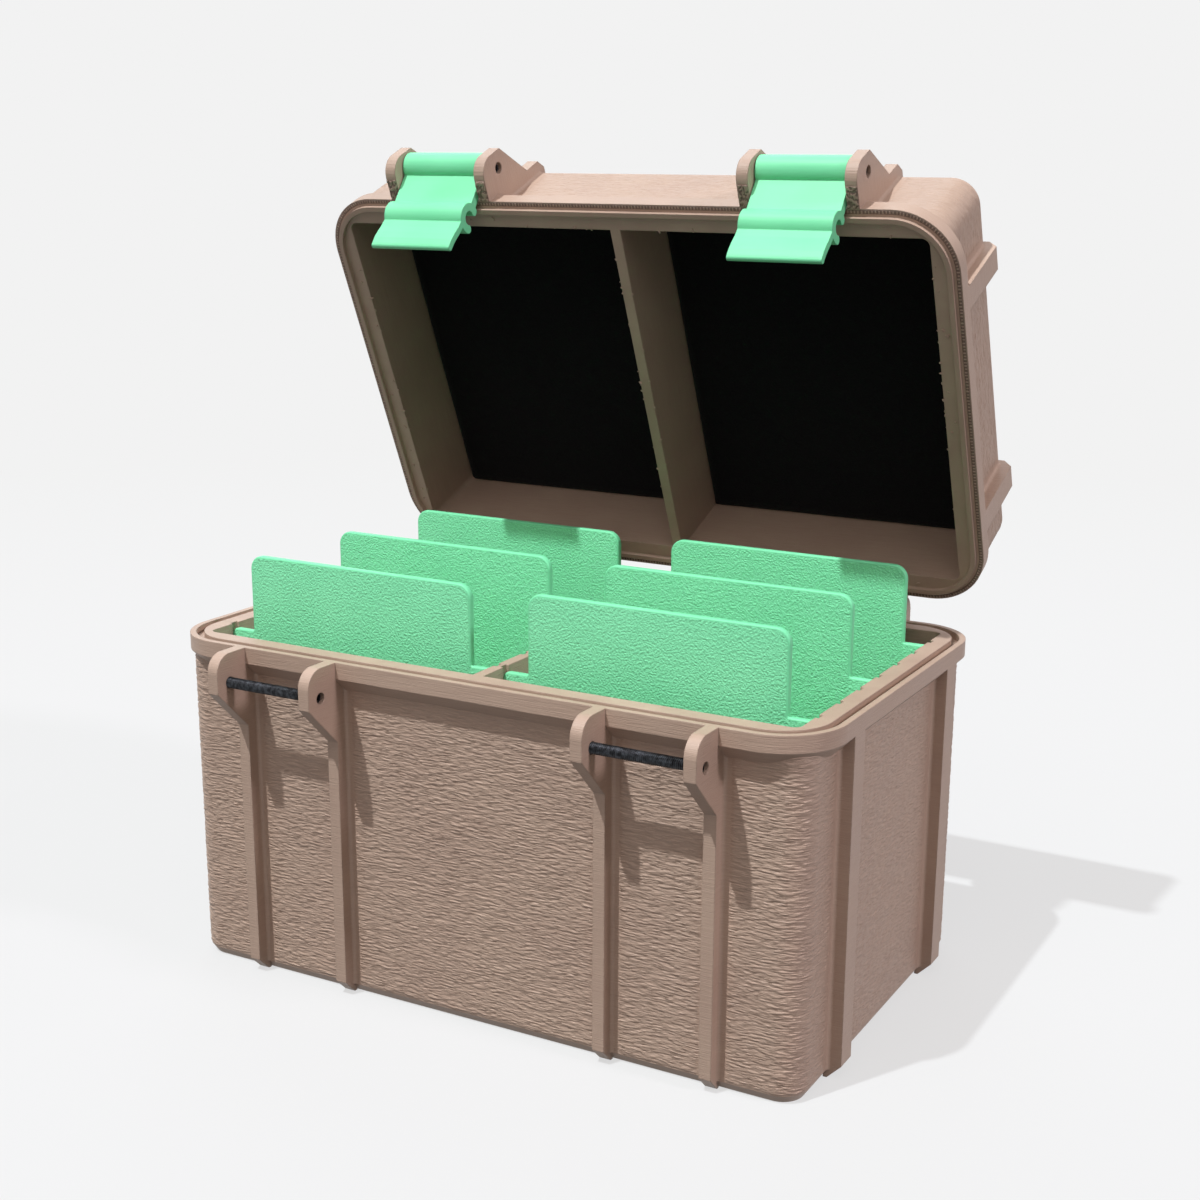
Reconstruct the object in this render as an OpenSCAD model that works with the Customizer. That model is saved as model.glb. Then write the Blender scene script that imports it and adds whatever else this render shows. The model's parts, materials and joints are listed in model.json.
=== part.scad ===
// Storage box for trading cards: two bays, a hinged lid, two draw latches and six dividers.
// Frame: +X runs along the front to the right, -Y is the front and +Z is up.
// The origin is the middle of the flat underside. The lid stands open, as it is left in use.

/* [Case] */
// Width over the collar
case_w = 190; // [160:0.5:240]
// Depth over the collar
case_d = 116.3; // [112:0.1:150]
// Height of the lower shell, up to its rim
base_h = 92.6; // [70:0.1:130]
// Height of the lid, from its rim to its top
lid_h = 30.3; // [26:0.1:50]
// Gap between the two rims when the lid is shut
seam_gap = 0.5; // [0.2:0.1:1]
// Angle at which the lid stands open
lid_angle = 66.8; // [60:0.1:75]

/* [Collar] */
// How far the collar and the ribs stand out from the walls
collar_out = 3.7; // [2.5:0.1:5]
// Height of the collar's upright band
collar_band = 4.4; // [3:0.1:6]
// Corner radius of the collar
collar_r = 16.7; // [12:0.1:20]

/* [Walls] */
// Thickness of the lower shell's walls
base_wall = 4.8; // [3:0.1:6]
// Thickness of the lid's walls
lid_wall = 3.7; // [2.5:0.1:5]
// Outer corner radius of the walls
wall_r = 7; // [6:0.1:10]
// Corner radius inside the bays
bay_r = 2.2; // [1:0.1:4]
// Thickness of the floor
floor_t = 3; // [2:0.1:6]
// Thickness of the lid's roof
roof_t = 3.1; // [2:0.1:6]
// Thickness of the wall between the two bays
middle_wall = 3; // [2.4:0.1:5]
// Width of the chamfer along the outer edges of the floor and the roof
edge_in = 1.45; // [0.5:0.05:2.5]
// Height of that chamfer
edge_rise = 2.2; // [0.5:0.1:4]

/* [Rims] */
// Width of the lip outside the groove in the lower rim
lip_w = 1.65; // [1:0.05:2]
// Width of the groove
groove_w = 2.1; // [1.8:0.1:3]
// Depth of the groove
groove_depth = 1.8; // [1.6:0.1:3]
// Width of the tongue under the lid's rim
tongue_w = 1.4; // [0.8:0.1:1.4]
// Height of the tongue
tongue_h = 1.2; // [0.6:0.1:1.5]

/* [Ribs and ears] */
// Width of the front and rear ribs, and of the ears on them
rib_w = 3.25; // [2.5:0.05:5]
// Width of the ribs on the two ends
side_rib_w = 6.35; // [4:0.05:10]
// Distance of each end rib from the collar's front or back
side_rib_inset = 25.15; // [22:0.05:35]
// Radius in the corner between a rib and the wall
rib_fillet = 1; // [0.5:0.1:2]
// Height of the slope at the foot of the lower shell's ribs
base_rib_foot = 3.7; // [2:0.1:8]
// Height of the slope at the top of the lid's ribs
lid_rib_foot = 2.7; // [2:0.1:4]
// Distance of the screws' axes out from the collar
screw_out = 6.3; // [5.8:0.1:9]
// Distance of each latch screw from its rim
screw_from_rim = 7.9; // [6:0.1:10]
// Plastic round each screw's axis, as a radius
ear_r = 4.7; // [3.5:0.1:5]
// Radius of the ears' outer corner beside the rim
ear_corner_r = 5; // [2:0.1:5]
// Distance from the rim to where the ears' slope starts
ear_drop = 10.3; // [9:0.1:12]

/* [Latches] */
// Distance of each latch from the end of the case
latch_inset = 40.95; // [38:0.05:45]
// Width of the latches
latch_w = 25.5; // [15:0.1:30]
// Radius of the barrel round the pivot screw
barrel_r = 4; // [3:0.1:4.5]
// Strap's thickness inside the line through its two screws
strap_in = 0.9; // [0.5:0.1:1.5]
// Strap's thickness outside that line
strap_out = 1.45; // [0.8:0.05:2]
// Thickness of the hook
hook_t = 2.2; // [1.2:0.05:2.2]
// Direction in which the hook's upper claw ends, from straight down
upper_claw = 201; // [190:1:220]
// Direction in which the hook's lower claw ends, from straight down
lower_claw = 333; // [320:1:345]
// Length of the finger tab past the catch screw
tab_len = 12.4; // [8:0.1:14]
// Thickness of the finger tab
tab_t = 1.7; // [1:0.1:2]
// Angle by which the open lid's latches are turned in towards its rim
latch_rest = 31.8; // [30:0.1:32]

/* [Screws] */
// Diameter of the headless screws
screw_d = 3; // [2.5:0.1:3.5]
// Depth at which a screw's socket end lies in the right-hand ear
socket_end_sunk = 0.8; // [0.2:0.1:1.4]
// Depth at which its other end lies in the left-hand ear
plain_end_sunk = 1.8; // [0.2:0.1:2]
// Width of the hexagonal socket, over its flats
socket_w = 1.5; // [1.3:0.1:2]
// Depth of the socket
socket_depth = 1.5; // [1:0.1:2.5]
// Chamfer at both ends
screw_chamfer = 0.4; // [0.2:0.1:0.6]

/* [Dividers] */
// Thickness of the dividers
divider_t = 2; // [1.2:0.1:3]
// Distance between slots
slot_pitch = 13; // [8:0.5:14]
// Number of slots along each wall of a bay
slot_count = 7; // [3:2:7]
// Depth of the slots in the outer walls
slot_in_side = 0.9; // [0.6:0.1:2.5]
// Depth of the slots in each face of the middle wall
slot_in_middle = 0.9; // [0.5:0.1:1]
// Width of the divider's raised tab
tab_w = 71; // [40:0.5:74]
// Height of the tab above the rim
tab_above = 20; // [10:0.1:22]
// Corner radius of the tab
tab_r = 3.8; // [1:0.1:8]
// Drop of the divider's shoulders under the rim
shoulder_drop = 1.2; // [0.5:0.1:5]
// Corner radius of the shoulders
shoulder_r = 2; // [0.5:0.1:4]

/* [Liners] */
// Thickness of the foam on the lid's ceiling
liner_t = 4; // [0.5:0.1:8]

/* [Fits] */
// Gap round a screw that turns in a piece
turn_gap = 0.1; // [0.05:0.01:0.1]
// Gap round a screw that is held in a piece
hold_gap = 0.05; // [0.02:0.01:0.1]
// Gap between the hook and the catch screw
hook_gap = 0.4; // [0.2:0.05:0.5]
// Gap between a latch and the ear on each side of it
latch_side_gap = 0.3; // [0.2:0.05:0.6]
// Gap between the ears of a hinge
ear_gap = 0.3; // [0.2:0.05:0.6]
// Gap round a divider in its slot
slot_gap = 0.3; // [0.2:0.05:0.5]
// Gap round the foam liners
liner_gap = 0.3; // [0.2:0.05:0.6]

/* [Hidden] */
$fn = 96;

// How far a cut runs past what it cuts, and how deep a rib is rooted in its wall
overrun = 1;
root = 1;

// Outlines of the walls, outside and inside
wall_w = case_w - 2 * collar_out;
wall_d = case_d - 2 * collar_out;
base_in_w = wall_w - 2 * base_wall;
base_in_d = wall_d - 2 * base_wall;
lid_in_w = wall_w - 2 * lid_wall;
lid_in_d = wall_d - 2 * lid_wall;
ceiling_z = lid_h - roof_t;

// The tongue runs along the middle of the groove
tongue_in = lip_w + (groove_w - tongue_w) / 2;

// Ribs on the two ends, from the middle of the end
side_rib_at = case_d / 2 - side_rib_inset;

// Ears stand in pairs, one on each side of a latch or a hinge
latch_at = case_w / 2 - latch_inset;
ear_at = latch_w / 2 + latch_side_gap + rib_w / 2;
ear_span = 2 * ear_at + rib_w;
lid_ear_at = ear_at - rib_w - ear_gap;
ear_out = screw_out + ear_r;

// Axes of the screws, with the lid shut
screw_r = screw_d / 2;
hinge_y = case_d / 2 + screw_out;
hinge_z = base_h + seam_gap / 2;
catch_z = base_h - screw_from_rim;
lid_rim_z = base_h + seam_gap;
screw_spacing = 2 * screw_from_rim + seam_gap;

// Hook of the latch, whose claws end in beads a little thicker than the hook
hook_inner_r = screw_r + hook_gap;
hook_outer_r = hook_inner_r + hook_t;
claw_share = 0.53;
claw_r = claw_share * hook_t;
claw_at = hook_inner_r + hook_t / 2;

// Finger tab, as shares of its length along the latch and of the hook's radius across it
tab_front_shares = [[0.23, 0.7], [0.42, 0.78], [0.6, 0.93], [0.76, 1.02], [0.92, 1.04]];

// How far the tab's back runs on past its front, which curls it outwards
tab_skew_share = 0.25;
tab_skew = tab_skew_share * tab_t;

// Hexagonal socket in the end of a screw
socket_sides = 6;
socket_r = socket_w / 2 / cos(180 / socket_sides);

// Where the dividers stand, as slots counted from the middle one
slots_aside = (slot_count - 1) / 2;
divider_rows = [-slots_aside, 0, slots_aside];
divider_from = middle_wall / 2 - slot_in_middle + slot_gap;
divider_to = base_in_w / 2 + slot_in_side - slot_gap;
bay_middle = (middle_wall / 2 + base_in_w / 2) / 2;

// A rectangle with round corners, about the origin
module rounded(w, d, r) {
    square([w - 2 * r, d], center = true);
    square([w, d - 2 * r], center = true);
    for (sx = [-1, 1], sy = [-1, 1])
        translate([sx * (w / 2 - r), sy * (d / 2 - r)])
            circle(r);
}

// A profile carried round a rounded rectangle. Its x is measured outwards from the edge.
module around(w, d, r) {
    for (turn = [0, 180])
        rotate(turn) {
            translate([w / 2, 0, 0])
                rotate([90, 0, 0])
                    linear_extrude(d - 2 * r, center = true)
                        children();
            translate([0, d / 2, 0])
                rotate([90, 0, 90])
                    linear_extrude(w - 2 * r, center = true)
                        children();
            translate([w / 2 - r, d / 2 - r, 0])
                rotate_extrude(angle = 90)
                    translate([r, 0])
                        children();
            translate([r - w / 2, d / 2 - r, 0])
                rotate(90)
                    rotate_extrude(angle = 90)
                        translate([r, 0])
                            children();
        }
}

// A profile in Y and Z, drawn out along X
module along_x(w) {
    rotate([90, 0, 90])
        linear_extrude(w, center = true)
            children();
}

// The collar of either shell, hanging from its rim at z = 0
module collar() {
    slope = collar_out + root;
    around(case_w, case_d, collar_r)
        polygon([[0, 0], [0, -collar_band], [-slope, -collar_band - slope], [-slope, 0]]);
}

// What is cut from the outer edge of a floor that lies at z = 0
module edge_cut() {
    around(wall_w, wall_d, wall_r)
        polygon([[-edge_in, 0], [0, edge_rise], [overrun, edge_rise], [overrun, -overrun],
            [-edge_in, -overrun]]);
}

// Half of the fillet section between a rib's side and the wall, on the rib's +X side
module fillet_section() {
    difference() {
        square(rib_fillet);
        translate([rib_fillet, rib_fillet])
            circle(rib_fillet);
    }
}

// A rib against the wall, from the floor at z = 0 up into the collar at height h.
// The collar's face is at y = 0, and the rib's foot slopes back to the wall.
module rib(w, h, foot) {
    top = h - collar_band;
    along_x(w)
        polygon([[-foot, 0], [0, foot], [0, top], [-collar_out - root, top], [-collar_out - root, 0]]);
    for (side = [0, 1])
        mirror([side, 0, 0])
            translate([w / 2, -collar_out, max(edge_rise, rib_fillet)])
                linear_extrude(top - max(edge_rise, rib_fillet))
                    fillet_section();
}

// Section of an ear that holds a latch screw. The rim is at z = 0 and the ear hangs under it.
module latch_ear_section() {
    flat = ear_out - ear_corner_r;
    polygon([[-root, -ear_drop - ear_out], [0, -ear_drop - ear_out], [ear_out, -ear_drop],
        [ear_out, -ear_corner_r], [flat, -ear_corner_r], [flat, 0], [-root, 0]]);
    translate([flat, -ear_corner_r])
        circle(ear_corner_r);
}

// Section of an ear that holds a hinge screw, whose axis is in the seam above the rim
module hinge_ear_section() {
    polygon([[-root, -ear_drop - ear_out], [0, -ear_drop - ear_out], [ear_out, -ear_drop],
        [ear_out, 0], [-root, 0]]);
    translate([screw_out, seam_gap / 2])
        circle(ear_r);
}

// Puts what is drawn outwards from y = 0 on the front of the case, or on its back
module on_front() {
    translate([0, -case_d / 2, 0])
        mirror([0, 1, 0])
            children();
}

module on_back() {
    translate([0, case_d / 2, 0])
        children();
}

// Ribs of a shell: pairs on the front and the back, and two on each end
module ribs(h, foot, rear_at) {
    for (side = [-1, 1], ear = [-1, 1]) {
        on_front()
            translate([side * latch_at + ear * ear_at, 0, 0])
                rib(rib_w, h, foot);
        on_back()
            translate([side * latch_at + ear * rear_at, 0, 0])
                rib(rib_w, h, foot);
        rotate(-90 * side)
            translate([ear * side_rib_at, case_w / 2, 0])
                rib(side_rib_w, h, foot);
    }
}

// Ears of a shell, on its front ribs and its rear ribs, hanging from the rim at z = 0
module ears(rear_at) {
    for (side = [-1, 1], ear = [-1, 1]) {
        on_front()
            translate([side * latch_at + ear * ear_at, 0, 0])
                along_x(rib_w)
                    latch_ear_section();
        on_back()
            translate([side * latch_at + ear * rear_at, 0, 0])
                along_x(rib_w)
                    hinge_ear_section();
    }
}

// Bores through the ears at one height, for screws that lie along X
module ear_bores(y, z, r) {
    for (side = [-1, 1])
        translate([side * latch_at, y, z])
            rotate([0, 90, 0])
                cylinder(h = ear_span + 2 * overrun, r = r, center = true);
}

// Both bays as one hollow, split by the middle wall
module bays(w, d, from_z, to_z) {
    translate([0, 0, from_z])
        linear_extrude(to_z - from_z)
            difference() {
                rounded(w, d, bay_r);
                square([middle_wall, d + 2 * overrun], center = true);
            }
}

// Lower shell
module base_shell() {
    color("#a58c7d")
        difference() {
            union() {
                difference() {
                    linear_extrude(base_h)
                        rounded(wall_w, wall_d, wall_r);
                    edge_cut();
                }
                translate([0, 0, base_h])
                    collar();
                ribs(base_h, base_rib_foot, ear_at);
                translate([0, 0, base_h])
                    ears(ear_at);
            }
            bays(base_in_w, base_in_d, floor_t, base_h + overrun);
            translate([0, 0, base_h])
                around(case_w - 2 * lip_w, case_d - 2 * lip_w, collar_r - lip_w)
                    polygon([[0, -groove_depth], [0, overrun], [-groove_w, overrun],
                        [-groove_w, -groove_depth]]);
            divider_slots();
            ear_bores(-hinge_y, catch_z, screw_r + hold_gap);
            ear_bores(hinge_y, hinge_z, screw_r + turn_gap);
        }
}

// Upright slots that hold the dividers, cut into the outer walls and the middle wall
module divider_slots() {
    slot_w = divider_t + 2 * slot_gap;
    from_x = middle_wall / 2 - slot_in_middle;
    to_x = base_in_w / 2 + slot_in_side;
    for (side = [0, 1], row = [-slots_aside:slots_aside])
        mirror([side, 0, 0])
            translate([from_x, row * slot_pitch - slot_w / 2, floor_t])
                cube([to_x - from_x, slot_w, base_h]);
}

// Lid, upright, with its rim at z = 0
module lid_upright() {
    difference() {
        union() {
            mirror([0, 0, 1]) {
                collar();
                ears(lid_ear_at);
            }
            translate([0, 0, lid_h])
                mirror([0, 0, 1]) {
                    difference() {
                        linear_extrude(lid_h)
                            rounded(wall_w, wall_d, wall_r);
                        edge_cut();
                    }
                    ribs(lid_h, lid_rib_foot, lid_ear_at);
                }
            around(case_w - 2 * tongue_in, case_d - 2 * tongue_in, collar_r - tongue_in)
                polygon([[0, root], [0, -tongue_h], [-tongue_w, -tongue_h], [-tongue_w, root]]);
        }
        bays(lid_in_w, lid_in_d, -overrun, ceiling_z);
        ear_bores(-hinge_y, screw_from_rim, screw_r + turn_gap);
        ear_bores(hinge_y, -seam_gap / 2, screw_r + turn_gap);
    }
}

// Swings what is drawn on the upright lid up to where the open lid stands
module opened() {
    translate([0, hinge_y, hinge_z])
        rotate([-lid_angle, 0, 0])
            translate([0, -hinge_y, lid_rim_z - hinge_z])
                children();
}

// Lid
module lid_shell() {
    color("#a58c7d")
        opened()
            lid_upright();
}

// Foam under the lid's ceiling, over one bay
module lid_liner(side) {
    from_x = middle_wall / 2 + liner_gap;
    to_x = lid_in_w / 2 - liner_gap;
    color("#1c1b1d")
        opened()
            translate([side * (from_x + to_x) / 2, 0, ceiling_z - liner_t])
                linear_extrude(liner_t)
                    rounded(to_x - from_x, lid_in_d - 2 * liner_gap, bay_r);
}

// Section of the latch: x runs from the pivot screw down to the catch screw, y outwards
module latch_section() {
    difference() {
        union() {
            circle(barrel_r);
            translate([0, -strap_in])
                square([screw_spacing - claw_at, strap_in + strap_out]);
            translate([screw_spacing, 0]) {
                circle(hook_outer_r);
                tab_section();
            }
        }
        circle(screw_r + turn_gap);
        translate([screw_spacing, 0]) {
            circle(hook_inner_r);
            mouth_section();
        }
    }
    for (claw = [upper_claw, lower_claw])
        translate([screw_spacing, 0] + claw_at * [cos(claw), sin(claw)])
            circle(claw_r);
}

// What is cut from the hook between its two round claws, on the side towards the case
module mouth_section() {
    reach = 2 * hook_outer_r;
    polygon([[0, 0], reach * [cos(upper_claw), sin(upper_claw)], [-reach, -reach],
        [reach, -reach], reach * [cos(lower_claw), sin(lower_claw)]]);
}

// Finger tab, curling out from under the hook to a round edge
module tab_section() {
    last = len(tab_front_shares) - 1;
    front = [for (i = [last:-1:0])
        [tab_front_shares[i][0] * tab_len, tab_front_shares[i][1] * hook_outer_r]];
    back = [for (share = tab_front_shares)
        [share[0] * tab_len + tab_skew, share[1] * hook_outer_r - tab_t]];
    polygon(concat(back, front));
    translate((front[0] + back[last]) / 2)
        circle(tab_t / 2);
}

// Latch, turned in towards the rim of the open lid
module latch(side) {
    color("#8cf5be")
        opened()
            translate([side * latch_at, -hinge_y, screw_from_rim])
                rotate([latch_rest, 0, 0])
                    mirror([0, 1, 0])
                        rotate([0, 90, 0])
                            linear_extrude(latch_w, center = true)
                                latch_section();
}

// Headless screw along X, with its socket in the right-hand ear
module screw() {
    from_x = plain_end_sunk - ear_span / 2;
    to_x = ear_span / 2 - socket_end_sunk;
    color("#26262b")
        rotate([0, 90, 0])
            difference() {
                rotate_extrude()
                    polygon([[0, from_x], [screw_r - screw_chamfer, from_x],
                        [screw_r, from_x + screw_chamfer], [screw_r, to_x - screw_chamfer],
                        [screw_r - screw_chamfer, to_x], [0, to_x]]);
                translate([0, 0, to_x - socket_depth])
                    cylinder(h = socket_depth + overrun, r = socket_r, $fn = socket_sides);
            }
}

// Screw that the latch turns on
module latch_pivot_screw(side) {
    opened()
        translate([side * latch_at, -hinge_y, screw_from_rim])
            screw();
}

// Screw that the latch's hook grips
module catch_screw(side) {
    translate([side * latch_at, -hinge_y, catch_z])
        screw();
}

// Screw that joins the ears of one hinge
module hinge_screw(side) {
    translate([side * latch_at, hinge_y, hinge_z])
        screw();
}

// A rectangle on y = 0 that is round at its two upper corners
module round_topped(w, h, r) {
    translate([-w / 2, 0])
        square([w, h - r]);
    translate([r - w / 2, 0])
        square([w - 2 * r, h]);
    for (side = [-1, 1])
        translate([side * (w / 2 - r), h - r])
            circle(r);
}

// Divider in one bay, standing on the floor in a row of slots
module divider(side, row) {
    body_w = divider_to - divider_from;
    body_h = base_h - shoulder_drop - floor_t;
    body_x = (divider_from + divider_to) / 2;
    color("#78d2a0")
        translate([side * body_x, divider_rows[row] * slot_pitch, floor_t])
            rotate([90, 0, 0])
                linear_extrude(divider_t, center = true) {
                    round_topped(body_w, body_h, shoulder_r);
                    translate([side * (bay_middle - body_x), 0])
                        round_topped(tab_w, base_h + tab_above - floor_t, tab_r);
                }
}

base_shell();
lid_shell();
latch(-1);  // latch_left
latch(1);  // latch_right
latch_pivot_screw(-1);  // latch_pivot_screw_left
latch_pivot_screw(1);  // latch_pivot_screw_right
catch_screw(-1);  // catch_screw_left
catch_screw(1);  // catch_screw_right
hinge_screw(-1);  // hinge_screw_left
hinge_screw(1);  // hinge_screw_right
divider(-1, 0);  // divider_left_front
divider(-1, 1);  // divider_left_middle
divider(-1, 2);  // divider_left_rear
divider(1, 0);  // divider_right_front
divider(1, 1);  // divider_right_middle
divider(1, 2);  // divider_right_rear
lid_liner(-1);  // lid_liner_left
lid_liner(1);  // lid_liner_right
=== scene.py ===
"""Looks of the card storage box: printed plastic shells, dividers, latches, screws and foam."""
import json
import math

import bmesh
import bpy
import numpy as np
from mathutils import Matrix, Vector


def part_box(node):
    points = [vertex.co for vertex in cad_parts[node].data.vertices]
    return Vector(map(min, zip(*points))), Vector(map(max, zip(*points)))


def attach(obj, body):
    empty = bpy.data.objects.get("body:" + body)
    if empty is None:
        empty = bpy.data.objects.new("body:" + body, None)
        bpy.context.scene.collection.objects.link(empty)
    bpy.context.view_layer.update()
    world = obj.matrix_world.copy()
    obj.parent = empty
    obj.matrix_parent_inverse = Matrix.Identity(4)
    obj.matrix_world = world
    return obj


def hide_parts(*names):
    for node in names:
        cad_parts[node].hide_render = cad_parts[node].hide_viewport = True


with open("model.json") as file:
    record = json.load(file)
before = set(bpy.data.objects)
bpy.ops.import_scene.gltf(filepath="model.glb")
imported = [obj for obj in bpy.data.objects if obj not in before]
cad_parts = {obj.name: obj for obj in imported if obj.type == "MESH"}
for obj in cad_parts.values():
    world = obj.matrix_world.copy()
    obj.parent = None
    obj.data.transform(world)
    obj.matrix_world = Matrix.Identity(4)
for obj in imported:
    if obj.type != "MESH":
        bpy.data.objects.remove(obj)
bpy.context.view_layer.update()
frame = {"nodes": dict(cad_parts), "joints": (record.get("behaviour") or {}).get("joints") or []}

MM = 0.001
JOINTS = {joint["name"]: joint for joint in frame["joints"]}

# Sizes of the case, in millimetres
CASE_W, CASE_D, BASE_H, LID_H, SEAM = 190.0, 116.3, 92.6, 30.3, 0.5
COLLAR_OUT, COLLAR_R, WALL_R = 3.7, 16.7, 7.0
WALL_W, WALL_D = CASE_W - 2 * COLLAR_OUT, CASE_D - 2 * COLLAR_OUT
EDGE_RISE = 2.2
LATCH_AT, EAR_AT, LID_EAR_AT, RIB_W = 54.05, 14.675, 11.125, 3.25
SIDE_RIB_AT, SIDE_RIB_W = 33.0, 6.35
LID_WALL, ROOF_T, LINER_T = 3.7, 3.1, 4.0
MIDDLE_WALL = 3.0
LID_IN_W, LID_IN_D = WALL_W - 2 * LID_WALL, WALL_D - 2 * LID_WALL
SCREW_R, EAR_SPAN, EAR_FLAT = 1.5, 2 * EAR_AT + RIB_W, 6.0
THREAD_PITCH, THREAD_DEPTH = 0.5, 0.28
SCREW_FROM_RIM = 7.9
DIVIDER_TAB_W, DIVIDER_DROP, SLOT_WALL = 71.0, 1.2, 4.8
SKIN_FROM_RIM = 5.0
TEETH_STEP = 0.92
OFF_FACE = 1000.0  # stands for a place on a corner, far from every rib

# The hinge, which carries the lid from shut to where it stands open
HINGE = Vector(JOINTS["lid_opening"]["pos_m"])
LID_ANGLE = math.radians(-JOINTS["lid_closing"]["range_deg"][0])
LID_PLACE = (
    Matrix.Translation(HINGE)
    @ Matrix.Rotation(-LID_ANGLE, 4, "X")
    @ Matrix.Translation(-HINGE)
    @ Matrix.Translation((0, 0, (BASE_H + SEAM) * MM))
)

# The photograph's camera, in its 1200 pixel frame
PHOTO_SIZE = 1200
FOCAL_PX = 1765.06
CENTRE_PX = (641.81, 641.34)
CAMERA_AT = (0.23344, -0.4030, 0.21396)
CAMERA_YAW, CAMERA_PITCH, CAMERA_ROLL = 27.95, -14.90, 0.61
SENSOR_MM = 36.0


def make_camera():
    """The camera at the photograph's place and angle."""
    data = bpy.data.cameras.new("photo_camera")
    data.sensor_width = SENSOR_MM
    data.lens = FOCAL_PX * SENSOR_MM / PHOTO_SIZE
    data.shift_x = (PHOTO_SIZE / 2 - CENTRE_PX[0]) / PHOTO_SIZE
    data.shift_y = (CENTRE_PX[1] - PHOTO_SIZE / 2) / PHOTO_SIZE
    data.clip_start = 0.01
    camera = bpy.data.objects.new("photo_camera", data)
    camera.matrix_world = (
        Matrix.Translation(CAMERA_AT)
        @ Matrix.Rotation(math.radians(CAMERA_YAW), 4, "Z")
        @ Matrix.Rotation(math.radians(90 + CAMERA_PITCH), 4, "X")
        @ Matrix.Rotation(math.radians(CAMERA_ROLL), 4, "Z")
    )
    bpy.context.scene.collection.objects.link(camera)
    bpy.context.scene.camera = camera


def srgb(red, green, blue):
    """A colour written in 0 to 255 sRGB steps, as linear values."""
    def linear(step):
        value = step / 255
        return value / 12.92 if value <= 0.04045 else ((value + 0.055) / 1.055) ** 2.4
    return (linear(red), linear(green), linear(blue), 1.0)


class Nodes:
    """Short calls for building a material's node tree."""

    def __init__(self, name):
        self.material = bpy.data.materials.new(name)
        self.material.use_nodes = True
        self.tree = self.material.node_tree
        self.shader = self.tree.nodes["Principled BSDF"]
        self.output = self.tree.nodes["Material Output"]

    def add(self, kind, inputs=None, **settings):
        node = self.tree.nodes.new(kind)
        for key, value in settings.items():
            setattr(node, key, value)
        for key, value in (inputs or {}).items():
            if isinstance(value, bpy.types.NodeSocket):
                self.tree.links.new(value, node.inputs[key])
            else:
                node.inputs[key].default_value = value
        return node

    def place(self, turn=0.0, scale=(1.0, 1.0, 1.0)):
        """Object coordinates, turned about X by an angle and scaled."""
        coordinates = self.add("ShaderNodeTexCoord")
        turned = self.add(
            "ShaderNodeMapping", {"Vector": coordinates.outputs["Object"], "Rotation": (turn, 0, 0)}
        )
        return self.add(
            "ShaderNodeMapping", {"Vector": turned.outputs[0], "Scale": scale}
        ).outputs[0]

    def noise(self, vector, scale, detail=2.0, roughness=0.5):
        return self.add(
            "ShaderNodeTexNoise",
            {"Vector": vector, "Scale": scale, "Detail": detail, "Roughness": roughness},
        ).outputs["Fac"]

    def ramp(self, value, low, high, from_colour, to_colour):
        node = self.add("ShaderNodeValToRGB", {"Fac": value})
        node.color_ramp.elements[0].position = low
        node.color_ramp.elements[0].color = from_colour
        node.color_ramp.elements[1].position = high
        node.color_ramp.elements[1].color = to_colour
        return node.outputs["Color"]

    def remap(self, value, low, high, to_low, to_high):
        return self.add(
            "ShaderNodeMapRange",
            {"Value": value, "From Min": low, "From Max": high, "To Min": to_low, "To Max": to_high},
        ).outputs["Result"]

    def mix(self, factor, one, two, blend_type="MIX"):
        node = self.add("ShaderNodeMix", data_type="RGBA", blend_type=blend_type)
        for index, value in ((0, factor), (6, one), (7, two)):
            if isinstance(value, bpy.types.NodeSocket):
                self.tree.links.new(value, node.inputs[index])
            else:
                node.inputs[index].default_value = value
        return node.outputs[2]

    def bump(self, height, strength, distance, normal=None):
        inputs = {"Height": height, "Strength": strength, "Distance": distance}
        if normal is not None:
            inputs["Normal"] = normal
        return self.add("ShaderNodeBump", inputs).outputs["Normal"]

    def soft_edges(self, radius):
        return self.add("ShaderNodeBevel", {"Radius": radius}, samples=4).outputs["Normal"]

    def link(self, value, socket):
        self.tree.links.new(value, self.shader.inputs[socket])

    def set(self, **values):
        for key, value in values.items():
            self.shader.inputs[key.replace("_", " ")].default_value = value


def shell_material(name, turn, skin=False, painted_shade=False):
    """Taupe printed plastic. Its layers lie square to the rim, which the turn brings upright. One variant
    is turned dark brown as painted shade.
    """
    n = Nodes(name)
    place = n.place(turn)
    layers = n.place(turn, (0.12, 0.12, 5.0))
    cloud = n.noise(place, 45, 4)
    base = n.ramp(cloud, 0.3, 0.7, srgb(177, 152, 136), srgb(185, 161, 144))
    streaks = n.noise(layers, 1100, 2)
    colour = n.mix(n.remap(streaks, 0.35, 0.7, 0.0, 0.4), base, srgb(165, 138, 123))
    # painted shade: the colour mixed most of the way to dark brown, standing in for shade in the hollows of
    # the lid's rim ridges and ear beads
    if painted_shade:
        colour = n.mix(0.62, colour, srgb(70, 50, 40))
    n.link(colour, "Base Color")
    n.link(n.remap(cloud, 0.2, 0.8, 0.42, 0.55), "Roughness")
    fine = n.noise(place, 2600, 2)
    soft = n.soft_edges(0.00045)
    if skin:
        waves = n.noise(n.place(turn, (0.18, 0.18, 1.0)), 2500, 2)
        soft = n.bump(waves, 1.0, 0.00026, soft)
    first = n.bump(streaks, 0.7, 0.00016, soft)
    n.link(n.bump(fine, 0.35, 0.00008, first), "Normal")
    n.set(Specular_IOR_Level=0.5)
    return n.material


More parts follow.
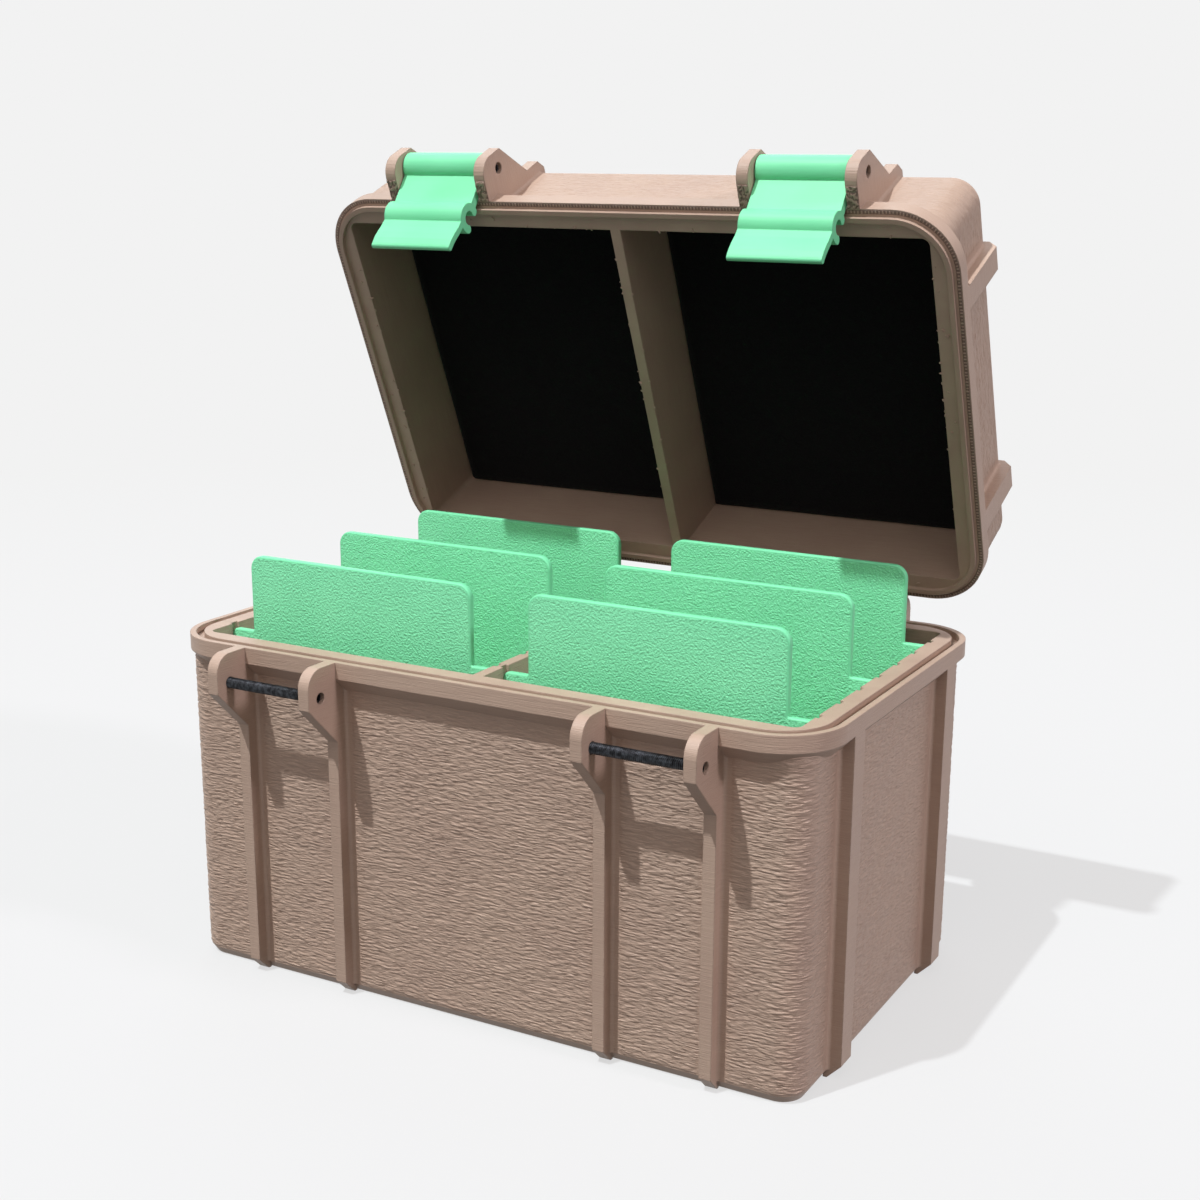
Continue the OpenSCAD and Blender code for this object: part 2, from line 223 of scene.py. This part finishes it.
def green_material(name, pebbled, turn=0.0):
    """Green printed plastic, smooth with fine layers or pebbled like leather with painted shade in the
    pebbles' hollows.
    """
    n = Nodes(name)
    place = n.place(turn)
    cloud = n.noise(place, 60, 3)
    soft = n.soft_edges(0.0004)
    if pebbled:
        colour = n.ramp(cloud, 0.3, 0.7, srgb(135, 236, 181), srgb(143, 242, 188))
        warp = n.noise(place, 1500, 2)
        cells = n.add(
            "ShaderNodeTexVoronoi", {"Vector": place, "Scale": 2400.0}, feature="SMOOTH_F1"
        ).outputs["Distance"]
        height = n.add(
            "ShaderNodeMath", {0: cells, 1: n.remap(warp, 0.3, 0.7, -0.3, 0.3)}, operation="SUBTRACT"
        ).outputs[0]
        # painted shade: the pebbles' low places mixed toward a darker green
        hollow_shade = n.remap(height, 0.2, 0.9, 0.0, 0.22)
        colour = n.mix(hollow_shade, colour, srgb(92, 186, 134))
        n.link(n.bump(height, 0.6, 0.00028, soft), "Normal")
        n.set(Roughness=0.5, Specular_IOR_Level=0.45)
    else:
        colour = n.ramp(cloud, 0.3, 0.7, srgb(122, 222, 168), srgb(129, 229, 175))
        layers = n.noise(n.place(turn, (0.02, 1.0, 1.0)), 2200, 2)
        n.link(n.bump(layers, 0.25, 0.00008, soft), "Normal")
        n.link(n.remap(cloud, 0.2, 0.8, 0.42, 0.52), "Roughness")
        n.set(Specular_IOR_Level=0.3)
    n.link(colour, "Base Color")
    return n.material


def screw_material():
    """Steel with a black oxide finish, with lighter patches at random that are painted highlights."""
    n = Nodes("black_oxide")
    place = n.place()
    cloud = n.noise(place, 900, 3)
    # the lighter end of this ramp is painted highlight, scattered by noise
    n.link(n.ramp(cloud, 0.4, 0.75, srgb(32, 33, 36), srgb(84, 88, 94)), "Base Color")
    n.link(n.remap(cloud, 0.2, 0.8, 0.32, 0.5), "Roughness")
    n.link(n.bump(n.noise(place, 3000, 2), 0.25, 0.00004), "Normal")
    n.set(Metallic=0.75)
    return n.material


def foam_material():
    """Black felted foam, which scatters hardly any light."""
    n = Nodes("black_foam")
    place = n.place()
    nap = n.noise(place, 1800, 4, 0.7)
    n.link(n.ramp(nap, 0.3, 0.8, srgb(6, 6, 8), srgb(22, 21, 25)), "Base Color")
    n.link(n.bump(nap, 0.6, 0.0003), "Normal")
    n.set(Roughness=0.95, Specular_IOR_Level=0.08, Sheen_Weight=0.05, Sheen_Roughness=0.6)
    return n.material


def lattice(u, v, seed, wrap=0):
    """Smooth noise from -1 to 1 on arrays of places. With wrap, it repeats along u."""
    table = np.random.RandomState(seed).uniform(-1, 1, (1024, 257))
    iu, iv = np.floor(u).astype(int), np.floor(v).astype(int)
    fu, fv = u - iu, v - iv
    fu, fv = fu * fu * (3 - 2 * fu), fv * fv * (3 - 2 * fv)
    near, far = (iu % wrap, (iu + 1) % wrap) if wrap else (iu % 256, (iu + 1) % 256)
    low, high = iv % 256, (iv + 1) % 256
    bottom = table[near, low] * (1 - fu) + table[far, low] * fu
    top = table[near, high] * (1 - fu) + table[far, high] * fu
    return bottom * (1 - fv) + top * fv


def wall_path(step):
    """Points and outward directions round the walls, with the face and the place along it of each."""
    half_w, half_d = WALL_W / 2 - WALL_R, WALL_D / 2 - WALL_R
    corner = WALL_R * math.pi / 2
    stretches = []
    for quarter in range(4):
        along, across = (half_d, half_w) if quarter % 2 == 0 else (half_w, half_d)
        stretches.append(("flat", quarter, along, across))
        stretches.append(("corner", quarter, along, across))
    points, normals, faces = [], [], []
    for kind, quarter, along, across in stretches:
        length = 2 * along if kind == "flat" else corner
        count = max(4, round(length / step))
        for i in range(count):
            share = i / count
            if kind == "flat":
                x, y = across + WALL_R, -along + 2 * along * share
                normal, place = (1.0, 0.0), y
            else:
                angle = share * math.pi / 2
                x, y = across + WALL_R * math.cos(angle), along + WALL_R * math.sin(angle)
                normal, place = (math.cos(angle), math.sin(angle)), OFF_FACE
            turn = quarter * math.pi / 2
            c, s = math.cos(turn), math.sin(turn)
            points.append((x * c - y * s, x * s + y * c))
            normals.append((normal[0] * c - normal[1] * s, normal[0] * s + normal[1] * c))
            faces.append((quarter, place))
    return np.array(points), np.array(normals), faces


def rib_mask(faces, rear_at):
    """1 on the open wall, falling to 0 beside each rib, for every point of the wall's path."""
    border, fade = 1.6, 0.8
    places = {
        0: [(at, SIDE_RIB_W) for at in (-SIDE_RIB_AT, SIDE_RIB_AT)],
        1: [(side * LATCH_AT + ear * rear_at, RIB_W) for side in (-1, 1) for ear in (-1, 1)],
        2: [(at, SIDE_RIB_W) for at in (-SIDE_RIB_AT, SIDE_RIB_AT)],
        3: [(side * LATCH_AT + ear * EAR_AT, RIB_W) for side in (-1, 1) for ear in (-1, 1)],
    }
    mask = []
    for face, place in faces:
        gap = min(abs(place - at) - width / 2 for at, width in places[face])
        mask.append(min(1.0, max(0.0, (gap - border) / fade)))
    return np.array(mask)


def wall_skin(name, body, low, high, rear_at, place, material, seed, ripple):
    """The rough, wavy outer skin of a shell's walls: a closed band that sinks into them beside the ribs."""
    step_u, step_z, sunk = 0.55, 0.13, -0.12
    points, normals, faces = wall_path(step_u)
    count = len(points)
    rows = int((high - low) / step_z)
    heights = np.linspace(low, high, rows)
    steps = np.linalg.norm(np.roll(points, -1, 0) - points, axis=1)
    arc = np.concatenate([[0], np.cumsum(steps)[:-1]])
    total = steps.sum()
    u, z = np.meshgrid(arc, heights)

    def wavy(length_u, length_z, number, bend=0.0):
        cells = int(total / length_u)
        return lattice(u / total * cells, (z + bend) / length_z, seed + number, cells)

    bend = 0.5 * wavy(5, 3.4, 1) + 0.15 * wavy(2, 1.6, 2)
    waves = 0.6 * wavy(1.5, 0.25, 3, bend) + 0.5 * wavy(1.1, 0.21, 4, bend)
    height = np.clip(0.5 + 0.75 * waves, 0, 1)
    edge = np.clip(np.minimum(z - low, high - z) / 0.7, 0, 1)
    mask = rib_mask(faces, rear_at)[None, :] * edge
    offset = (0.02 + ripple * height) * mask + sunk * (1 - mask)
    outer = np.empty((rows, count, 3))
    outer[..., 0] = points[:, 0] + normals[:, 0] * offset
    outer[..., 1] = points[:, 1] + normals[:, 1] * offset
    outer[..., 2] = z
    inner = np.empty((2, count, 3))
    inner[..., 0] = points[:, 0] - normals[:, 0] * 0.6
    inner[..., 1] = points[:, 1] - normals[:, 1] * 0.6
    inner[0, :, 2], inner[1, :, 2] = low, high
    verts = np.concatenate([outer.reshape(-1, 3), inner.reshape(-1, 3)]) * MM
    here = np.arange(count)
    there = (here + 1) % count
    quads = []
    for row in range(rows - 1):
        a, b = row * count, (row + 1) * count
        quads.append(np.stack([a + here, a + there, b + there, b + here], 1))
    first_in, last_in, last_out = rows * count, rows * count + count, (rows - 1) * count
    quads.append(np.stack([first_in + here, first_in + there, there, here], 1))
    quads.append(np.stack([last_out + here, last_out + there, last_in + there, last_in + here], 1))
    quads.append(np.stack([last_in + here, last_in + there, first_in + there, first_in + here], 1))
    quads = np.concatenate(quads)
    mesh = bpy.data.meshes.new(name)
    mesh.vertices.add(len(verts))
    mesh.vertices.foreach_set("co", verts.ravel())
    mesh.loops.add(quads.size)
    mesh.loops.foreach_set("vertex_index", quads.ravel())
    mesh.polygons.add(len(quads))
    mesh.polygons.foreach_set("loop_start", np.arange(0, quads.size, 4))
    mesh.polygons.foreach_set("use_smooth", np.ones(len(quads), bool))
    mesh.update(calc_edges=True)
    mesh.validate()
    mesh.transform(place)
    mesh.materials.append(material)
    skin = bpy.data.objects.new(name, mesh)
    bpy.context.scene.collection.objects.link(skin)
    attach(skin, body)


def add_mesh(name, verts, faces, material, place, body, smooth=True):
    """A piece from points in millimetres, put in place and riding on a body."""
    mesh = bpy.data.meshes.new(name)
    mesh.from_pydata([tuple(c * MM for c in v) for v in verts], [], faces)
    mesh.validate()
    build = bmesh.new()
    build.from_mesh(mesh)
    bmesh.ops.recalc_face_normals(build, faces=build.faces)
    build.to_mesh(mesh)
    build.free()
    mesh.transform(place)
    for polygon in mesh.polygons:
        polygon.use_smooth = smooth
    mesh.materials.append(material)
    piece = bpy.data.objects.new(name, mesh)
    bpy.context.scene.collection.objects.link(piece)
    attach(piece, body)
    return piece


def loft(rings):
    """Points and faces of a closed body through rings of equally many points."""
    count = len(rings[0])
    verts = [point for ring in rings for point in ring]
    faces = []
    for row in range(len(rings) - 1):
        near, far = row * count, (row + 1) * count
        for i in range(count):
            j = (i + 1) % count
            faces.append((near + i, near + j, far + j, far + i))
    faces.append(tuple(range(count)))
    faces.append(tuple((len(rings) - 1) * count + i for i in range(count)))
    return verts, faces


def threaded_screw(name, node, body, place, material):
    """A headless screw along X, with a real helical thread and its hex socket on the right."""
    segments, per_pitch = 36, 8
    left, right, deep = 1.8 - EAR_SPAN / 2, EAR_SPAN / 2 - 0.8, 1.5
    angles = [2 * math.pi * i / segments for i in range(segments)]

    def ring(x, radius):
        radii = [radius(a) if callable(radius) else radius for a in angles]
        return [(x, r * math.cos(a), r * math.sin(a)) for r, a in zip(radii, angles)]

    def socket(angle):
        return 0.75 / math.cos((angle % (math.pi / 3)) - math.pi / 6)

    rings = [ring(left, SCREW_R - 0.4), ring(left + 0.3, SCREW_R - 0.15)]
    steps = int((right - left - 0.6) / THREAD_PITCH * per_pitch)
    for k in range(steps):
        x = left + 0.3 + k * THREAD_PITCH / per_pitch
        fade = min(1.0, k / per_pitch, (steps - k) / per_pitch)

        def thread(angle, x=x, fade=fade):
            turn = (x / THREAD_PITCH + angle / (2 * math.pi)) % 1.0
            return SCREW_R - THREAD_DEPTH * fade * abs(2 * turn - 1) - 0.01

        rings.append(ring(x, thread))
    rings += [ring(right - 0.3, SCREW_R - 0.15), ring(right, SCREW_R - 0.4)]
    rings += [ring(right, socket), ring(right - deep, socket)]
    verts, faces = loft(rings)
    piece = add_mesh(name, verts, faces, material, place, body)
    piece.data.set_sharp_from_angle(angle=math.radians(50))
    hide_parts(node)


def arc(cx, cy, radius, start, end, steps=6):
    """Points on an arc, from one angle to another in degrees."""
    spread = [start + (end - start) * k / steps for k in range(steps + 1)]
    return [
        (cx + radius * math.cos(math.radians(a)), cy + radius * math.sin(math.radians(a))) for a in spread
    ]


def divider_piece(name, faces_of, edges_of):
    """A pebbled divider with smooth rounded edges: a wide foot in the slots and a raised tab."""
    low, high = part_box(name)
    x0, x1, z0, z1 = low.x / MM, high.x / MM, low.z / MM, high.z / MM
    side = 1 if x0 > 0 else -1
    tab_r, foot_r, inner_r = 3.8, 2.0, 0.4
    bay_middle = side * (MIDDLE_WALL / 2 + (WALL_W / 2 - SLOT_WALL)) / 2
    shoulder = BASE_H - DIVIDER_DROP
    t0, t1 = bay_middle - DIVIDER_TAB_W / 2, bay_middle + DIVIDER_TAB_W / 2
    outline = [(x0, z0), (x1, z0)]
    outline += arc(x1 - foot_r, shoulder - foot_r, foot_r, 0, 90)
    outline += arc(t1 + inner_r, shoulder + inner_r, inner_r, 270, 180)
    outline += arc(t1 - tab_r, z1 - tab_r, tab_r, 0, 90, 10)
    outline += arc(t0 + tab_r, z1 - tab_r, tab_r, 90, 180, 10)
    outline += arc(t0 - inner_r, shoulder + inner_r, inner_r, 0, -90)
    outline += arc(x0 + foot_r, shoulder - foot_r, foot_r, 90, 180)
    count = len(outline)
    inward = []
    for i in range(count):
        ax, az = outline[i - 1]
        bx, bz = outline[(i + 1) % count]
        length = math.hypot(bx - ax, bz - az)
        inward.append((-(bz - az) / length, (bx - ax) / length))
    thick = (high.y - low.y) / MM
    middle = (high.y + low.y) / 2 / MM
    soft = 0.55
    rings = []
    for sign in (-1, 1):
        turns = [k * 15 for k in range(7)]
        for turn in (turns if sign < 0 else reversed(turns)):
            rise = math.radians(turn)
            inset = soft * (1 - math.sin(rise))
            y = middle + sign * (thick / 2 - soft * (1 - math.cos(rise)))
            rings.append([(x + i[0] * inset, y, z + i[1] * inset) for (x, z), i in zip(outline, inward)])
    verts, faces = loft(rings)
    piece = add_mesh("pebbled_" + name, verts, faces, edges_of, Matrix.Identity(4), name)
    piece.data.materials.append(faces_of)
    for polygon in piece.data.polygons:
        polygon.material_index = int(len(polygon.vertices) > 4)
    piece.data.set_sharp_from_angle(angle=math.radians(40))
    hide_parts(name)


def foam_piece(side, material):
    """A thin foam pad glued to the lid's ceiling, softly rounded and a little uneven."""
    sign = 1 if side == "right" else -1
    x_low, x_high = MIDDLE_WALL / 2 + 0.3, LID_IN_W / 2 - 0.3
    half_w, half_d = (x_high - x_low) / 2, LID_IN_D / 2 - 0.3
    centre = sign * (x_low + x_high) / 2
    columns, rows = 60, 70
    ceiling = LID_H - ROOF_T
    x, y = np.meshgrid(np.linspace(-half_w, half_w, columns + 1), np.linspace(-half_d, half_d, rows + 1))
    edge = np.minimum(half_w - abs(x), half_d - abs(y))
    lift = 1 - np.clip(1 - edge / 1.6, 0, 1) ** 2
    wave = lattice(x / 14 + 20, y / 14 + 20, 5 + sign)
    depth = LINER_T - 0.9 * (1 - lift) - 0.08 + 0.08 * wave
    verts = []
    for below in (0 * depth, depth):
        verts += np.stack([centre + x, y, ceiling - below], -1).reshape(-1, 3).tolist()
    width = columns + 1
    top = (rows + 1) * width
    faces = []
    for j in range(rows):
        for i in range(columns):
            a = j * width + i
            faces.append((a, a + 1, a + 1 + width, a + width))
            faces.append((top + a, top + a + width, top + a + 1 + width, top + a + 1))
    for j in range(rows):
        for a in (j * width, j * width + columns):
            faces.append((a, a + width, top + a + width, top + a))
    for i in range(columns):
        for a in (i, rows * width + i):
            faces.append((a, a + 1, top + a + 1, top + a))
    name = f"lid_liner_{side}"
    piece = add_mesh("foam_" + name, verts, faces, material, LID_PLACE, "lid")
    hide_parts(name)


def print_specks(material):
    """Small beads and wisps that the printer left along the inner edges of the lid's rim."""
    random = np.random.RandomState(83)
    build = bmesh.new()
    paths = []
    half_w, half_d = LID_IN_W / 2, LID_IN_D / 2
    for sign in (-1, 1):
        outer, inner = sign * half_w, sign * MIDDLE_WALL / 2
        paths += [((outer, -half_d), (outer, half_d), 24), ((inner, -half_d), (inner, half_d), 16)]
        paths += [((inner, -half_d), (outer, -half_d), 9), ((inner, half_d), (outer, half_d), 15)]
    for start, end, count in paths:
        for _ in range(count):
            share = random.uniform(0.04, 0.96)
            out = random.uniform(0, 3.2) * random.randint(0, 2)
            x = start[0] + (end[0] - start[0]) * share
            y = start[1] + (end[1] - start[1]) * share
            on_side, on_end = abs(x) >= half_w, abs(y) >= half_d
            x *= 1 + out / half_w * on_side
            y *= 1 + out / half_d * on_end
            size = random.uniform(0.14, 0.34)
            stretch = (1.0, random.uniform(1.0, 2.6), random.uniform(0.7, 1.5))
            tilt = random.uniform(-0.6, 0.6)
            spin = Matrix.Rotation(random.uniform(0, math.pi), 4, "Z") @ Matrix.Rotation(tilt, 4, "X")
            reach = size * math.hypot(stretch[1] * math.sin(tilt), stretch[2] * math.cos(tilt))
            at_z = random.uniform(-0.1, 0.5) if out == 0 else -0.05
            put = Matrix.Translation((x, y, max(at_z, reach - 0.4))) @ spin
            put = put @ Matrix.Diagonal((size * stretch[0], size * stretch[1], size * stretch[2], 1))
            bmesh.ops.create_icosphere(build, subdivisions=2, radius=1.0, matrix=put)
    mesh = bpy.data.meshes.new("print_specks")
    build.to_mesh(mesh)
    build.free()
    mesh.transform(LID_PLACE @ Matrix.Scale(MM, 4))
    for polygon in mesh.polygons:
        polygon.use_smooth = True
    mesh.materials.append(material)
    piece = bpy.data.objects.new("print_specks", mesh)
    bpy.context.scene.collection.objects.link(piece)
    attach(piece, "lid")


def rim_point(along):
    """A place on the edge of the collar with its outward direction, from the length along it."""
    half_w, half_d = CASE_W / 2 - COLLAR_R, CASE_D / 2 - COLLAR_R
    corner = COLLAR_R * math.pi / 2
    for quarter in range(4):
        flat, across = (half_d, half_w) if quarter % 2 == 0 else (half_w, half_d)
        if along < 2 * flat:
            place = Vector((across + COLLAR_R, along - flat))
            outward = Vector((1, 0))
        elif along < 2 * flat + corner:
            angle = (along - 2 * flat) / COLLAR_R
            outward = Vector((math.cos(angle), math.sin(angle)))
            place = Vector((across, flat)) + COLLAR_R * outward
        else:
            along -= 2 * flat + corner
            continue
        turn = Matrix.Rotation(quarter * math.pi / 2, 2)
        return turn @ place, turn @ outward
    return rim_point(0.0)


def rim_teeth(light, painted_shade_material):
    """The lid's outer lip: a band coloured with painted shade, under a row of small cross ridges in the
    lid's own colour.
    """
    random = np.random.RandomState(29)
    total = 4 * (CASE_W / 2 + CASE_D / 2 - 2 * COLLAR_R) + 2 * math.pi * COLLAR_R
    count = round(total / TEETH_STEP)
    verts, faces, kinds = [], [], []

    def slab(start, end, near, far, height, top_in):
        first = len(verts)
        for low, inset in ((0.3, 0.0), (-height, top_in)):
            for along, depth in (
                (start + inset, near + inset), (end - inset, near + inset),
                (end - inset, far - inset), (start + inset, far - inset),
            ):
                place, outward = rim_point(along % total)
                verts.append((*(place - outward * depth), low))
        quads = [(0, 1, 5, 4), (1, 2, 6, 5), (2, 3, 7, 6), (3, 0, 4, 7), (4, 5, 6, 7), (3, 2, 1, 0)]
        faces.extend(tuple(first + i for i in quad) for quad in quads)
        return len(quads)

    for k in range(count):
        at = total * k / count
        # the band beneath the ridges takes the painted shade material (kind 1); the ridges keep the lid's
        # colour (kind 0)
        kinds += [1] * slab(at, at + total / count, 0.28, 1.3, 0.03, 0.0)
        jitter = random.uniform(-0.06, 0.06)
        near, far = random.uniform(0.3, 0.42), random.uniform(1.0, 1.25)
        width = random.uniform(0.4, 0.52)
        kinds += [0] * slab(at + jitter, at + jitter + width, near, far, random.uniform(0.12, 0.22), 0.08)
    piece = add_mesh("rim_teeth", verts, faces, light, LID_PLACE, "lid", smooth=False)
    piece.data.materials.append(painted_shade_material)
    for polygon, kind in zip(piece.data.polygons, kinds):
        polygon.material_index = kind


def ear_roughness(light, painted_shade_material):
    """Worm-like beads of plastic on the rim faces of the lid's front latch ears, with painted shade in the
    low places between them.
    """
    step, half = 0.11, RIB_W / 2 - 0.12
    columns, rows = int(2 * half / step), int((EAR_FLAT - 0.3) / step)
    verts, faces, kinds = [], [], []
    for number, at in enumerate([s * LATCH_AT + e * EAR_AT for s in (-1, 1) for e in (-1, 1)]):
        across, outward = np.linspace(-half, half, columns + 1), np.linspace(0.1, EAR_FLAT - 0.2, rows + 1)
        x, y = np.meshgrid(across, outward)
        bend = 0.9 * lattice(x / 1.1 + 40, y / 1.1 + 40, 61 + number)
        worms = lattice((x + 0.6 * bend) / 0.34 + 60, (y + 0.4 * bend) / 0.46 + 60, 71 + number)
        height = 0.04 + 0.3 * np.clip(0.5 + 0.9 * worms, 0, 1)
        first = len(verts)
        verts += np.stack([at + x, -CASE_D / 2 - y, -height], -1).reshape(-1, 3).tolist()
        for j in range(rows):
            for i in range(columns):
                a = first + j * (columns + 1) + i
                faces.append((a, a + 1, a + columns + 2, a + columns + 1))
                # low places between the beads, and the patch's skirt, take the painted shade material
                kinds.append(int(height[j:j + 2, i:i + 2].mean() < 0.19))
        edge = [(0, i) for i in range(columns + 1)] + [(j, columns) for j in range(1, rows + 1)]
        edge += [(rows, i) for i in range(columns - 1, -1, -1)] + [(j, 0) for j in range(rows - 1, 0, -1)]
        base = len(verts)
        verts += [(*verts[first + j * (columns + 1) + i][:2], 0.3) for j, i in edge]
        for k, (j, i) in enumerate(edge):
            j2, i2 = edge[(k + 1) % len(edge)]
            here, there = first + j * (columns + 1) + i, first + j2 * (columns + 1) + i2
            faces.append((here, there, base + (k + 1) % len(edge), base + k))
            kinds.append(1)
        faces.append(tuple(base + k for k in range(len(edge))))
        kinds.append(1)
    piece = add_mesh("ear_roughness", verts, faces, light, LID_PLACE, "lid")
    piece.data.materials.append(painted_shade_material)
    for polygon, kind in zip(piece.data.polygons, kinds):
        polygon.material_index = kind


def dress(names, material):
    """Gives CAD pieces their material."""
    for name in names:
        node = frame["nodes"][name]
        node.data.materials.clear()
        node.data.materials.append(material)


def make_stage():
    """A pale floor that fades into the backdrop, a hard key sun with three softer ones, and an even sky."""
    backdrop = srgb(242, 242, 242)
    world = bpy.data.worlds.new("studio")
    bpy.context.scene.world = world
    world.use_nodes = True
    tree = world.node_tree
    tree.nodes.clear()
    output = tree.nodes.new("ShaderNodeOutputWorld")
    mix = tree.nodes.new("ShaderNodeMixShader")
    sky = tree.nodes.new("ShaderNodeBackground")
    shown = tree.nodes.new("ShaderNodeBackground")
    path = tree.nodes.new("ShaderNodeLightPath")
    sky.inputs["Color"].default_value = (1.0, 0.89, 0.85, 1)
    sky.inputs["Strength"].default_value = 0.24
    shown.inputs["Color"].default_value = backdrop
    direct = tree.nodes.new("ShaderNodeMath")
    direct.operation = "MAXIMUM"
    clear = tree.nodes.new("ShaderNodeMath")
    clear.operation = "MAXIMUM"
    tree.links.new(path.outputs["Is Camera Ray"], direct.inputs[0])
    tree.links.new(path.outputs["Is Glossy Ray"], direct.inputs[1])
    tree.links.new(direct.outputs[0], clear.inputs[0])
    tree.links.new(path.outputs["Is Transmission Ray"], clear.inputs[1])
    tree.links.new(clear.outputs[0], mix.inputs[0])
    tree.links.new(sky.outputs[0], mix.inputs[1])
    tree.links.new(shown.outputs[0], mix.inputs[2])
    tree.links.new(mix.outputs[0], output.inputs[0])

    for name, strength, spread, toward, colour in (
        ("key", 3.2, 1.2, (-0.207, -0.383, 0.90), (0.94, 0.985, 1.0)),
        ("high", 0.85, 60, (0.10, -0.56, 0.82), (1.0, 0.92, 0.87)),
        ("right", 1.2, 8, (0.86, 0.0, 0.51), (1.0, 0.91, 0.98)),
        ("back", 0.5, 40, (-0.43, 0.62, 0.65), (0.85, 0.93, 1.0)),
    ):
        data = bpy.data.lights.new(name, "SUN")
        data.color = colour
        data.energy = strength
        data.angle = math.radians(spread)
        lamp = bpy.data.objects.new(name, data)
        lamp.rotation_euler = Vector(toward).to_track_quat("Z", "Y").to_euler()
        bpy.context.scene.collection.objects.link(lamp)

    n = Nodes("floor")
    path = n.add("ShaderNodeLightPath")
    distance = n.add("ShaderNodeVectorMath", {0: n.place()}, operation="LENGTH").outputs["Value"]
    plain = n.remap(distance, 0.3, 0.9, 0.7, 1.0)
    seen = path.outputs["Is Camera Ray"]
    n.link(n.mix(seen, (0.10, 0.10, 0.10, 1), (0.60, 0.61, 0.62, 1)), "Base Color")
    n.set(Roughness=1.0, Specular_IOR_Level=0.0)
    glow = n.add("ShaderNodeEmission", {"Color": backdrop, "Strength": 1.0})
    seen = n.add("ShaderNodeMath", {0: seen, 1: plain}, operation="MULTIPLY").outputs[0]
    mirrored = n.add(
        "ShaderNodeMath", {0: path.outputs["Is Glossy Ray"], 1: seen}, operation="MAXIMUM"
    ).outputs[0]
    blend = n.add("ShaderNodeMixShader", {0: mirrored, 1: n.shader.outputs[0], 2: glow.outputs[0]})
    n.tree.links.new(blend.outputs[0], n.output.inputs[0])
    bpy.ops.mesh.primitive_plane_add(size=40)
    floor = bpy.context.object
    floor.name = "floor"
    floor.data.materials.append(n.material)


bpy.context.scene.view_settings.view_transform = "Standard"
make_camera()
make_stage()

shell_base = shell_material("shell_base", 0.0)
shell_lid = shell_material("shell_lid", LID_ANGLE)
skin_base = shell_material("skin_base", 0.0, skin=True)
skin_lid = shell_material("skin_lid", LID_ANGLE, skin=True)
# a dark brown copy of the lid's plastic, used as painted shade between the rim ridges and the ear beads
lid_painted_shade = shell_material("lid_painted_shade", LID_ANGLE, painted_shade=True)
latch_green = green_material("latch_green", pebbled=False)
divider_green = green_material("divider_green", pebbled=True)
edge_green = green_material("edge_green", pebbled=False)
black_oxide = screw_material()
black_foam = foam_material()

sides = ("left", "right")
dress(["base_shell"], shell_base)
dress(["lid_shell"], shell_lid)
dress([f"latch_{side}" for side in sides], latch_green)
for side, sign in (("left", -1), ("right", 1)):
    at = sign * LATCH_AT * MM
    catch = Matrix.Translation((at, -HINGE.y, (BASE_H - SCREW_FROM_RIM) * MM))
    hinge = Matrix.Translation((at, HINGE.y, HINGE.z))
    pivot = LID_PLACE @ Matrix.Translation((at, -HINGE.y, SCREW_FROM_RIM * MM))
    threaded_screw(f"catch_thread_{side}", f"catch_screw_{side}", "base", catch, black_oxide)
    threaded_screw(f"hinge_thread_{side}", f"hinge_screw_{side}", "hinge_screws", hinge, black_oxide)
    threaded_screw(
        f"pivot_thread_{side}", f"latch_pivot_screw_{side}", f"latch_pin_{side}", pivot, black_oxide
    )
    foam_piece(side, black_foam)
    for row in ("front", "middle", "rear"):
        divider_piece(f"divider_{side}_{row}", divider_green, edge_green)
print_specks(shell_lid)
rim_teeth(shell_lid, lid_painted_shade)
ear_roughness(shell_lid, lid_painted_shade)

wall_skin(
    "base_skin", "base", EDGE_RISE, BASE_H - SKIN_FROM_RIM, EAR_AT, Matrix.Identity(4), skin_base,
    seed=11, ripple=0.28,
)
wall_skin(
    "lid_skin", "lid", SKIN_FROM_RIM, LID_H - EDGE_RISE, LID_EAR_AT, LID_PLACE, skin_lid,
    seed=47, ripple=0.16,
)
